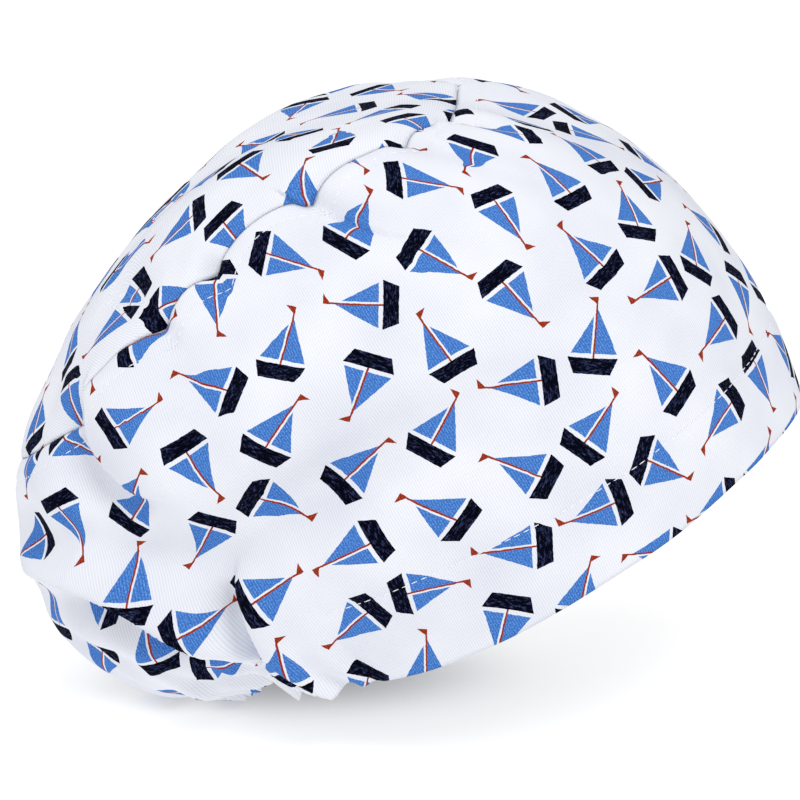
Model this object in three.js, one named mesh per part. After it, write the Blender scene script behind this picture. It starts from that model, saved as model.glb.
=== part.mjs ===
import * as THREE from 'three';

// Surgical scrub cap: a side band round the head, gathered at the nape and
// tucked on to an oval crown panel. Millimetres, +X forward, +Y to the wearer's
// left, +Z up. The origin is the centre of the head opening.

// Overall sizes of the worn cap
const capLength = 256;
const capWidth = 166;
const capHeight = 204;

// Cloth and sewing sizes
const clothWall = 1.2;
const turnedWall = 1.0;
const casingWall = 2.4;
const hemDepth = 30;
const casingDepth = 15;
const layerGap = 0.4;
const seamGap = 0.4;
const hemEdgeInset = 1.2;

// Seam, folds and gathers
const seamSink = 1.3;
const seamGrooveWidth = 3.2;
const seamLobeRise = 5;
const seamLobeSpan = 24;
const foldHeight = 5;
const foldWidth = 10;
const tuckWidth = 4.5;
const ruffleHeight = 3.4;
const ruffleRise = 48;
const ruffleCount = 15;
const gatherStart = 116;
const gatherEase = 8;

// Angles run from 0 at the brow to 180 at the nape, minus on the wearer's right.
// A section row gives the cap's line at one level of the cloth: level 0 is the
// hem, 1 the seam and 2 the middle of the crown. X, Y and Z are shares of the
// cap's length, width and height at the brow, the ear and the nape, and square
// is how much fuller than an ellipse that end of the line is.
const sections = [
  { level: 0.0, browX: 0.359, browZ: 0.243, earX: -0.012, earY: 0.476, earZ: -0.027,
    napeX: -0.359, napeZ: -0.243, browSquare: -0.03, napeSquare: 0.0 },
  { level: 0.2, browX: 0.314, browZ: 0.38, earX: -0.05, earY: 0.494, earZ: 0.13,
    napeX: -0.475, napeZ: -0.238, browSquare: 0.0, napeSquare: 0.05 },
  { level: 0.4, browX: 0.259, browZ: 0.498, earX: -0.102, earY: 0.5, earZ: 0.267,
    napeX: -0.575, napeZ: -0.167, browSquare: 0.02, napeSquare: 0.06 },
  { level: 0.6, browX: 0.182, browZ: 0.605, earX: -0.156, earY: 0.476, earZ: 0.395,
    napeX: -0.625, napeZ: -0.075, browSquare: 0.03, napeSquare: 0.06 },
  { level: 0.8, browX: 0.076, browZ: 0.688, earX: -0.215, earY: 0.416, earZ: 0.498,
    napeX: -0.641, napeZ: 0.027, browSquare: 0.03, napeSquare: 0.06 },
  { level: 1.0, browX: -0.062, browZ: 0.73, earX: -0.316, earY: 0.325, earZ: 0.576,
    napeX: -0.641, napeZ: 0.125, browSquare: 0.02, napeSquare: 0.16 },
  { level: 1.33, browX: -0.195, browZ: 0.703, earX: -0.367, earY: 0.217, earZ: 0.6,
    napeX: -0.609, napeZ: 0.257, browSquare: 0.0, napeSquare: 0.1 },
  { level: 1.66, browX: -0.305, browZ: 0.66, earX: -0.406, earY: 0.108, earZ: 0.593,
    napeX: -0.547, napeZ: 0.395, browSquare: 0.0, napeSquare: 0.05 },
  { level: 2.0, browX: -0.43, browZ: 0.565, earX: -0.43, earY: 0.0, earZ: 0.565,
    napeX: -0.43, napeZ: 0.565, browSquare: 0.0, napeSquare: 0.0 },
];

// Tucks where the band is pleated into the seam: depth is a share of foldHeight,
// reach how many levels the pleat runs down the band.
const tucks = [
  { angle: -28, depth: 0.7, reach: 0.16 },
  { angle: -50, depth: 0.5, reach: 0.1 },
  { angle: -79, depth: 0.9, reach: 0.15 },
  { angle: -102, depth: 0.6, reach: 0.1 },
  { angle: -115, depth: 0.7, reach: 0.1 },
  { angle: -136, depth: 0.9, reach: 0.16 },
  { angle: 22, depth: 0.6, reach: 0.14 },
  { angle: 46, depth: 0.8, reach: 0.14 },
  { angle: 72, depth: 0.6, reach: 0.12 },
  { angle: 96, depth: 0.9, reach: 0.15 },
  { angle: 120, depth: 0.6, reach: 0.1 },
  { angle: 140, depth: 0.9, reach: 0.14 },
  { angle: 170, depth: 0.5, reach: 0.1 },
];

// Folds and dents of the worn cloth. path lists [angle, level, strength]; height
// and width are shares of foldHeight and foldWidth, and a minus height is a dent.
const folds = [
  // the wearer's right: creases from the crown, the pleat over the ear
  { height: -0.7, width: 0.8, path: [[-36, 1.02, 0.4], [-45, 0.92, 1], [-43, 0.85, 0.7], [-38, 0.74, 0]] },
  { height: -0.7, width: 0.8, path: [[-80, 0.96, 1], [-77, 0.88, 0.9], [-72, 0.8, 0.5], [-64, 0.74, 0]] },
  { height: -0.4, width: 1.4, path: [[-76, 0.8, 0.6], [-72, 0.7, 1], [-68, 0.62, 0]] },
  { height: 0.35, width: 2.0, path: [[-92, 0.84, 0.3], [-96, 0.72, 1], [-108, 0.66, 0.6]] },
  { height: -1.1, width: 1.3,
    path: [[-78, 0.52, 0], [-94, 0.49, 0.5], [-106, 0.49, 0.8], [-117, 0.49, 1], [-126, 0.5, 1], [-133, 0.54, 0.5]] },
  { height: 0.4, width: 2.0, path: [[-86, 0.34, 0], [-106, 0.32, 1], [-118, 0.38, 0.8]] },
  // its pouch at the back, folded over the crown and over the gathers
  { height: 1.1, width: 1.2, path: [[-122, 0.99, 0.4], [-127, 0.9, 1], [-126, 0.78, 0.8], [-122, 0.7, 0]] },
  { height: -1.5, width: 1.0, path: [[-139, 0.99, 0.8], [-138, 0.88, 1], [-135, 0.78, 0.9], [-130, 0.7, 0.3]] },
  { height: 0.7, width: 1.1, path: [[-150, 0.92, 0.4], [-149, 0.8, 1], [-142, 0.72, 0.5]] },
  { height: -0.7, width: 0.9, path: [[-162, 0.9, 0.4], [-158, 0.78, 1], [-150, 0.68, 0.4]] },
  { height: 0.8, width: 1.0,
    path: [[-176, 0.69, 0.2], [-155, 0.66, 1], [-142, 0.5, 1], [-136, 0.3, 0.8], [-135, 0.18, 0.4]] },
  { height: -1.4, width: 0.9,
    path: [[-176, 0.59, 0.2], [-157, 0.55, 1], [-147, 0.44, 1], [-141, 0.27, 1], [-140, 0.15, 0.5]] },
  { height: -1.2, width: 0.8, path: [[-127, 0.4, 0.3], [-128, 0.33, 1], [-131, 0.2, 1], [-136, 0.08, 0.5]] },
  { height: -0.7, width: 2.4, path: [[-170, 0.06, 0.3], [-158, 0.08, 1], [-146, 0.1, 1], [-138, 0.1, 0.3]] },
  { height: 0.8, width: 1.0, path: [[-121, 0.36, 0.2], [-121, 0.25, 1], [-124, 0.1, 0.8]] },
  // the brow
  { height: -0.7, width: 1.3, path: [[2, 1.02, 0.6], [-4, 0.95, 1], [-9, 0.87, 0.7], [-8, 0.74, 0]] },
  { height: 0.5, width: 1.6, path: [[14, 0.98, 0.8], [12, 0.9, 1], [10, 0.78, 0]] },
  { height: -0.3, width: 1.6, path: [[20, 0.72, 0], [26, 0.6, 1], [34, 0.5, 0]] },
  // the wearer's left
  { height: -0.7, width: 0.9, path: [[46, 1.0, 1], [50, 0.9, 0.9], [56, 0.8, 0]] },
  { height: -0.5, width: 1.5, path: [[96, 0.96, 1], [92, 0.84, 0.9], [82, 0.72, 0]] },
  { height: -0.6, width: 1.9, path: [[74, 0.5, 0], [94, 0.46, 0.8], [114, 0.5, 1], [130, 0.58, 0.5]] },
  { height: 0.4, width: 2.0, path: [[88, 0.32, 0], [104, 0.3, 1], [118, 0.34, 0.8]] },
  { height: 1.0, width: 1.2, path: [[128, 0.98, 0.4], [131, 0.88, 1], [128, 0.76, 0.6]] },
  { height: -1.1, width: 1.0, path: [[143, 0.98, 0.8], [142, 0.86, 1], [137, 0.74, 0.4]] },
  { height: -0.7, width: 1.0, path: [[160, 0.88, 0.4], [156, 0.74, 1], [148, 0.62, 0.4]] },
  { height: 0.8, width: 1.2, path: [[170, 0.56, 0.3], [154, 0.52, 1], [143, 0.38, 0.8]] },
  { height: -1.0, width: 1.2, path: [[172, 0.44, 0.3], [158, 0.38, 1], [147, 0.24, 0.8]] },
  { height: -1.1, width: 0.8, path: [[126, 0.4, 0.2], [129, 0.28, 1], [133, 0.12, 0.6]] },
  // the crown panel
  { height: -0.4, width: 1.3, path: [[-60, 1.1, 0.6], [-50, 1.35, 1], [-20, 1.6, 0]] },
  { height: 0.4, width: 1.6, path: [[-95, 1.15, 0.5], [-90, 1.4, 1], [-70, 1.7, 0]] },
  { height: -0.5, width: 1.2, path: [[-118, 1.05, 0.8], [-122, 1.3, 1], [-130, 1.6, 0]] },
  { height: -0.6, width: 1.3, path: [[-150, 1.04, 0.6], [-156, 1.3, 1], [-168, 1.55, 0]] },
  { height: -0.5, width: 1.4, path: [[100, 1.06, 0.8], [106, 1.3, 1], [120, 1.6, 0]] },
  { height: 0.4, width: 1.5, path: [[60, 1.15, 0.5], [66, 1.4, 1], [80, 1.7, 0]] },
  { height: -0.4, width: 1.2, path: [[176, 1.05, 0.6], [170, 1.3, 1], [160, 1.5, 0]] },
];

// Where the elastic draws the hem's edge up: height in mm, spread in degrees
const edgePulls = [
  { angle: -132, height: 8, spread: 16 },
  { angle: 132, height: 8, spread: 16 },
  { angle: -155, height: 3.5, spread: 11 },
];

// The ruffles' own unevenness: how far they wander, how often and from where
const wander = { size: 0.22, turns: 2.1, start: 0.6 };

// Mesh stations round the cap and rows up the cloth
const smoothSteps = 32;
const gatherSteps = 56;
const bandRows = [0, 0.05, 0.11, 0.19, 0.29, 0.4, 0.52, 0.64, 0.76, 0.87, 0.95, 1];
const crownRows = [0, 0.06, 0.16, 0.32, 0.52, 0.76, 1];
const stripRows = [0, 0.5, 1];

// Small steps along the cloth, in degrees and levels, and the level by which its rise is told
const angleStep = 0.5;
const levelStep = 0.004;
const searchStep = 0.01;
const hemLevel = 0.1;

const halfTurn = 180;
const radians = (degrees) => THREE.MathUtils.degToRad(degrees);
const mix = THREE.MathUtils.lerp;
const smooth = THREE.MathUtils.smoothstep;

// One value of a section at an angle, from its brow, ear and nape values
function roundValue(brow, ear, nape, angle) {
  const turn = radians(angle);
  return (brow + nape + 2 * ear) / 4 + ((brow - nape) / 2) * Math.cos(turn)
    + ((brow + nape - 2 * ear) / 4) * Math.cos(2 * turn);
}

function sectionPoint(section, angle) {
  const turn = radians(angle);
  const toBrow = (1 + Math.cos(turn)) / 2;
  const square = mix(section.napeSquare, section.browSquare, toBrow);
  const full = 1 - (section.browSquare + section.napeSquare) / 2;
  const across = (Math.sin(turn) + square * Math.sin(3 * turn)) / full;
  return new THREE.Vector3(
    capLength * roundValue(section.browX, section.earX, section.napeX, angle),
    capWidth * section.earY * across,
    capHeight * roundValue(section.browZ, section.earZ, section.napeZ, angle),
  );
}

// How the cloth line moves per level at a section; over the crown's middle the
// line runs on to the far side
function sectionSlope(index, angle) {
  const last = sections.length - 1;
  const before = sections[Math.max(index - 1, 0)];
  const after = sections[Math.min(index + 1, last)];
  if (index === last) {
    const across = sectionPoint(before, angle + halfTurn).sub(sectionPoint(before, angle));
    return across.divideScalar(2 * (after.level - before.level));
  }
  const rise = sectionPoint(after, angle).sub(sectionPoint(before, angle));
  return rise.divideScalar(after.level - before.level);
}

// The smooth cap without folds
function barePoint(angle, level) {
  let lower = 0;
  while (lower < sections.length - 2 && level >= sections[lower + 1].level) lower += 1;
  const span = sections[lower + 1].level - sections[lower].level;
  const t = (level - sections[lower].level) / span;
  const start = 2 * t ** 3 - 3 * t ** 2 + 1;
  const leave = t ** 3 - 2 * t ** 2 + t;
  const arrive = t ** 3 - t ** 2;
  return sectionPoint(sections[lower], angle).multiplyScalar(start)
    .addScaledVector(sectionSlope(lower, angle), leave * span)
    .addScaledVector(sectionPoint(sections[lower + 1], angle), 1 - start)
    .addScaledVector(sectionSlope(lower + 1, angle), arrive * span);
}

// Outward from a surface; beside the crown's middle for its very middle
function surfaceNormal(surface, angle, level) {
  const middle = THREE.MathUtils.clamp(level, levelStep, 2 - 2 * levelStep);
  const around = surface(angle + angleStep, middle).sub(surface(angle - angleStep, middle));
  const up = surface(angle, middle + levelStep).sub(surface(angle, middle - levelStep));
  return around.cross(up).normalize();
}

function wrapAngle(angle) {
  return angle - 2 * halfTurn * Math.round(angle / (2 * halfTurn));
}

// Millimetres of cloth per level at a place
function clothPerLevel(angle, level) {
  const low = Math.max(level - levelStep, 0);
  return barePoint(angle, low + 2 * levelStep).distanceTo(barePoint(angle, low)) / (2 * levelStep);
}

// The seam line rises in a lobe between each two tucks
const tuckAngles = tucks.map((tuck) => tuck.angle).sort((a, b) => a - b);
function seamLevel(angle) {
  const here = wrapAngle(angle);
  const next = tuckAngles.find((tuck) => tuck > here) ?? tuckAngles[0] + 2 * halfTurn;
  const earlier = tuckAngles.filter((tuck) => tuck <= here);
  const last = earlier.length ? earlier[earlier.length - 1] : tuckAngles.at(-1) - 2 * halfTurn;
  const lobe = Math.sin(Math.PI * (here - last) / (next - last)) * Math.min((next - last) / seamLobeSpan, 1);
  return 1 + lobe * seamLobeRise / clothPerLevel(here, 1);
}

function edgeLevel(angle) {
  let pull = 0;
  for (const place of edgePulls) {
    pull += place.height * Math.exp(-((wrapAngle(angle - place.angle) / place.spread) ** 2));
  }
  return pull / clothPerLevel(angle, 0);
}

const foldLines = folds.map((fold) => ({
  height: fold.height * foldHeight,
  width: fold.width * foldWidth,
  points: fold.path.map(([angle, level]) => barePoint(angle, level)),
  strengths: fold.path.map((row) => row[2]),
}));
for (const tuck of tucks) {
  foldLines.push({
    height: -tuck.depth * foldHeight,
    width: tuckWidth,
    points: [barePoint(tuck.angle, 1), barePoint(tuck.angle, 1 - tuck.reach)],
    strengths: [1, 0],
  });
}

function foldLift(place) {
  let lift = 0;
  for (const fold of foldLines) {
    let nearest = Infinity;
    let strength = 0;
    for (let index = 0; index < fold.points.length - 1; index += 1) {
      const start = fold.points[index];
      const along = fold.points[index + 1].clone().sub(start);
      const offset = place.clone().sub(start);
      const t = THREE.MathUtils.clamp(offset.dot(along) / along.lengthSq(), 0, 1);
      const distance = offset.addScaledVector(along, -t).length();
      if (distance < nearest) {
        nearest = distance;
        strength = mix(fold.strengths[index], fold.strengths[index + 1], t);
      }
    }
    lift += fold.height * strength * Math.exp(-((nearest / fold.width) ** 2));
  }
  return lift;
}

// The cap with its folds and its seam groove, before the nape is gathered
function foldedPoint(angle, level) {
  const place = barePoint(angle, level);
  const fromSeam = Math.abs(level - seamLevel(angle)) * clothPerLevel(angle, level);
  const sink = seamSink * Math.exp(-fromSeam / seamGrooveWidth);
  const normal = surfaceNormal(barePoint, angle, level);
  return place.addScaledVector(normal, foldLift(place) - sink);
}

// Gathers stand out of the folded cloth at the nape and die out up the band
function ruffleLift(angle, level) {
  const back = Math.abs(wrapAngle(angle));
  const inZone = smooth(back, gatherStart, gatherStart + gatherEase);
  const rise = level * clothPerLevel(angle, hemLevel);
  const fade = Math.exp(-((rise / ruffleRise) ** 2));
  const span = 2 * (halfTurn - gatherStart);
  const turn = (wrapAngle(angle - halfTurn) / span) * ruffleCount;
  const uneven = turn + wander.size * Math.sin(wander.turns * turn + wander.start);
  return ruffleHeight * inZone * fade * (1 - Math.cos(2 * Math.PI * uneven)) / 2;
}

function gatheredPoint(angle, level) {
  const lift = ruffleLift(angle, level);
  return foldedPoint(angle, level).addScaledVector(surfaceNormal(barePoint, angle, level), lift);
}

// The level that lies a length of cloth above the hem's edge
function levelAt(angle, length) {
  let travelled = 0;
  let level = edgeLevel(angle);
  while (travelled < length) {
    travelled += barePoint(angle, level + searchStep).distanceTo(barePoint(angle, level));
    level += searchStep;
  }
  return level;
}

// A closed wall from an outer and an inner grid of rows. A ring joins its last
// column to its first; a pole closes the top row to one point.
function wallGeometry(outer, inner, isRing, hasPole) {
  const columns = outer[0].length;
  const rows = outer.length;
  const positions = [];
  const triangles = [];
  const numbers = [outer, inner].map((grid) => grid.map((row, rowIndex) => {
    const isPole = hasPole && rowIndex === rows - 1;
    return row.map((point, column) => {
      if (!isPole || column === 0) positions.push(point.x, point.y, point.z);
      return positions.length / 3 - 1;
    });
  }));
  const face = (a, b, c) => {
    if (a !== b && b !== c && a !== c) triangles.push(a, b, c);
  };
  const quad = (a, b, c, d) => {
    face(a, b, c);
    face(a, c, d);
  };
  const [out, into] = numbers;
  const spans = isRing ? columns : columns - 1;
  for (let column = 0; column < spans; column += 1) {
    const next = (column + 1) % columns;
    for (let row = 0; row < rows - 1; row += 1) {
      quad(out[row][column], out[row][next], out[row + 1][next], out[row + 1][column]);
      quad(into[row][next], into[row][column], into[row + 1][column], into[row + 1][next]);
    }
    quad(into[0][column], into[0][next], out[0][next], out[0][column]);
    if (!hasPole) {
      quad(out[rows - 1][column], out[rows - 1][next], into[rows - 1][next], into[rows - 1][column]);
    }
  }
  if (!isRing) {
    const end = columns - 1;
    for (let row = 0; row < rows - 1; row += 1) {
      quad(into[row][0], out[row][0], out[row + 1][0], into[row + 1][0]);
      quad(out[row][end], into[row][end], into[row + 1][end], out[row + 1][end]);
    }
  }
  const geometry = new THREE.BufferGeometry();
  geometry.setAttribute('position', new THREE.Float32BufferAttribute(positions, 3));
  geometry.setIndex(triangles);
  geometry.computeVertexNormals();
  return geometry;
}

// A wall whose outer face lies a depth inside a surface
function clothWallOf(surface, angles, levelsOf, depth, thickness, isRing, hasPole) {
  const grids = [depth, depth + thickness].map((inset) => {
    const rows = levelsOf(angles[0]).length;
    return Array.from({ length: rows }, (_, row) => angles.map((angle) => {
      const level = levelsOf(angle)[row];
      const normal = surfaceNormal(surface, angle, level);
      return surface(angle, level).addScaledVector(normal, -inset);
    }));
  });
  return wallGeometry(grids[0], grids[1], isRing, hasPole);
}

function stationAngles(from, to, steps) {
  return Array.from({ length: steps }, (_, index) => mix(from, to, index / steps));
}

const edgeShare = (angle, level) => seamGap / 2 / clothPerLevel(angle, level);

// The band and the crown share their stations, so that they meet along the seam
const roundAngles = [
  ...stationAngles(-gatherStart, 0, smoothSteps),
  ...stationAngles(0, gatherStart, smoothSteps),
  ...stationAngles(gatherStart, 2 * halfTurn - gatherStart, gatherSteps),
];

function bandGeometry() {
  const levels = (angle) => {
    const top = seamLevel(angle) - edgeShare(angle, 1);
    return bandRows.map((share) => mix(edgeLevel(angle), top, share));
  };
  return clothWallOf(gatheredPoint, roundAngles, levels, 0, clothWall, true, false);
}

function crownGeometry() {
  const levels = (angle) => {
    const bottom = seamLevel(angle) + edgeShare(angle, 1);
    return crownRows.map((share) => mix(bottom, 2, share));
  };
  return clothWallOf(foldedPoint, roundAngles, levels, 0, clothWall, true, true);
}

// A strip turned up inside the band, between two angles
function stripGeometry(from, to, steps, depth, thickness) {
  const angles = [...stationAngles(from, to, steps), to];
  const levels = (angle) => {
    const low = levelAt(angle, hemEdgeInset);
    const high = levelAt(angle, depth);
    return stripRows.map((share) => mix(low, high, share));
  };
  return clothWallOf(foldedPoint, angles, levels, clothWall + layerGap, thickness, false, false);
}

function hemGeometry() {
  return stripGeometry(-gatherStart, gatherStart, 2 * smoothSteps, hemDepth, turnedWall);
}

function casingGeometry() {
  const gapAngle = 2 * layerGap / (radians(1) * capWidth / 2);
  const from = gatherStart + gapAngle;
  return stripGeometry(from, 2 * halfTurn - from, gatherSteps / 2, casingDepth, casingWall);
}

const clothRoughness = 0.9;
const cloths = { printed_cotton: 0xf3f4fb, cotton_back: 0xeef0f7 };

function clothMaterial(name) {
  const material = new THREE.MeshStandardMaterial({ color: cloths[name], roughness: clothRoughness });
  material.name = name;
  material.side = THREE.DoubleSide;
  return material;
}

function piece(name, geometry, material) {
  const mesh = new THREE.Mesh(geometry, material);
  mesh.name = name;
  return mesh;
}

const cap = new THREE.Group();
cap.add(
  piece('crown_panel', crownGeometry(), clothMaterial('printed_cotton')),
  piece('side_band', bandGeometry(), clothMaterial('printed_cotton')),
  piece('turned_hem', hemGeometry(), clothMaterial('cotton_back')),
  piece('elastic_casing', casingGeometry(), clothMaterial('cotton_back')),
);

export default cap;
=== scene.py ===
# Surgical scrub cap, worn shape: printed cotton band, crown panel, turned hem and gathered nape
import math
import bmesh
import bpy
import numpy as np
from mathutils import Matrix, Vector


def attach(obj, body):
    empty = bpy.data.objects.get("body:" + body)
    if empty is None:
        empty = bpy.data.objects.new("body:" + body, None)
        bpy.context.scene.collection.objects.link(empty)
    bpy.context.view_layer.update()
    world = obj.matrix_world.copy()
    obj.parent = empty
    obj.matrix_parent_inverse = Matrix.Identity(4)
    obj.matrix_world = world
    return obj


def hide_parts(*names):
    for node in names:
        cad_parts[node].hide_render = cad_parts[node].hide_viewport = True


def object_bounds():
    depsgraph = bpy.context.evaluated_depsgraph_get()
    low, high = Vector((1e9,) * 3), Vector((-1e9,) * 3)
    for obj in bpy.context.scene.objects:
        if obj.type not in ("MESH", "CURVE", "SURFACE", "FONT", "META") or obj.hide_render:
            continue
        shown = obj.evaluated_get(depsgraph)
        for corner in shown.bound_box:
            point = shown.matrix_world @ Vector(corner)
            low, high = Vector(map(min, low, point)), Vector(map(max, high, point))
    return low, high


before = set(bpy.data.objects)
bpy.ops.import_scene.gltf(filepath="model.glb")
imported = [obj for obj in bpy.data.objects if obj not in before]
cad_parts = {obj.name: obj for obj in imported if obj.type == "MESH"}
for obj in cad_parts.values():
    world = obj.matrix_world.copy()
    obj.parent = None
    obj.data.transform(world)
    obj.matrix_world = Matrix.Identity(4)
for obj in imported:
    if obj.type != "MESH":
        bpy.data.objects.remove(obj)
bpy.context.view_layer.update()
print("frame loaded:", list(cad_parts))

mm = 0.001

# Sizes of the worn cap, which the sections below are given in shares of
capSize = {"length": 256 * mm, "width": 166 * mm, "height": 204 * mm}

# The camera stands out to the wearer's right and a little above, and looks down at the cap
viewFrom = {
    "elevation": 16.0,          # degrees above level
    "distance": 1200 * mm,
    "mmPerPixel": 0.33 * mm,    # at the cap's middle
    "originPixel": (517, 538),  # where the head opening's centre shows
    "photoSide": 800,
}


def placeCamera(setting):
    tilt = math.radians(setting["elevation"])
    towards = Vector((0, -math.cos(tilt), math.sin(tilt)))
    upward = Vector((0, math.sin(tilt), math.cos(tilt)))
    middle = setting["photoSide"] / 2
    right = (middle - setting["originPixel"][0]) * setting["mmPerPixel"]
    rise = (setting["originPixel"][1] - middle) * setting["mmPerPixel"]
    target = Vector((right, 0, 0)) + upward * rise
    lens = bpy.data.cameras.new("sideCamera")
    lens.sensor_width = 36
    lens.lens = lens.sensor_width * setting["distance"] / (setting["photoSide"] * setting["mmPerPixel"])
    lens.clip_start = 0.01
    camera = bpy.data.objects.new("sideCamera", lens)
    camera.location = target + towards * setting["distance"]
    camera.rotation_euler = towards.to_track_quat("Z", "Y").to_euler()
    bpy.context.scene.collection.objects.link(camera)
    bpy.context.scene.camera = camera


placeCamera(viewFrom)
print("camera placed")

# Lines of the cloth: level 0 is the hem, 1 the seam, 2 the middle of the crown. X, Y and Z are
# shares of the cap's length, width and height at the brow, the ear and the nape.
# level, browX, browZ, earX, earY, earZ, napeX, napeZ, browSquare, napeSquare
sections = np.array([
    (0.0, 0.359, 0.243, -0.012, 0.476, -0.027, -0.359, -0.243, -0.03, 0.0),
    (0.2, 0.314, 0.38, -0.05, 0.494, 0.13, -0.475, -0.238, 0.0, 0.05),
    (0.4, 0.259, 0.498, -0.102, 0.5, 0.267, -0.575, -0.167, 0.02, 0.06),
    (0.6, 0.182, 0.605, -0.156, 0.476, 0.395, -0.625, -0.075, 0.03, 0.06),
    (0.8, 0.076, 0.688, -0.215, 0.416, 0.498, -0.641, 0.027, 0.03, 0.06),
    (1.0, -0.062, 0.73, -0.316, 0.325, 0.576, -0.641, 0.125, 0.02, 0.16),
    (1.33, -0.195, 0.703, -0.367, 0.217, 0.6, -0.609, 0.257, 0.0, 0.1),
    (1.66, -0.305, 0.66, -0.406, 0.108, 0.593, -0.547, 0.395, 0.0, 0.05),
    (2.0, -0.43, 0.565, -0.43, 0.0, 0.565, -0.43, 0.565, 0.0, 0.0),
])

# Tucks at the seam: angle, depth and how many levels they run down the band.
# Angles go from 0 at the brow to 180 at the nape, minus on the wearer's right.
tucks = [
    (-28, 0.7, 0.16), (-50, 0.5, 0.1), (-79, 0.9, 0.15), (-102, 0.6, 0.1), (-115, 0.7, 0.1),
    (-136, 0.9, 0.16), (22, 0.6, 0.14), (46, 0.8, 0.14), (72, 0.6, 0.12), (96, 0.9, 0.15),
    (120, 0.6, 0.1), (140, 0.9, 0.14), (170, 0.5, 0.1),
]

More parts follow.
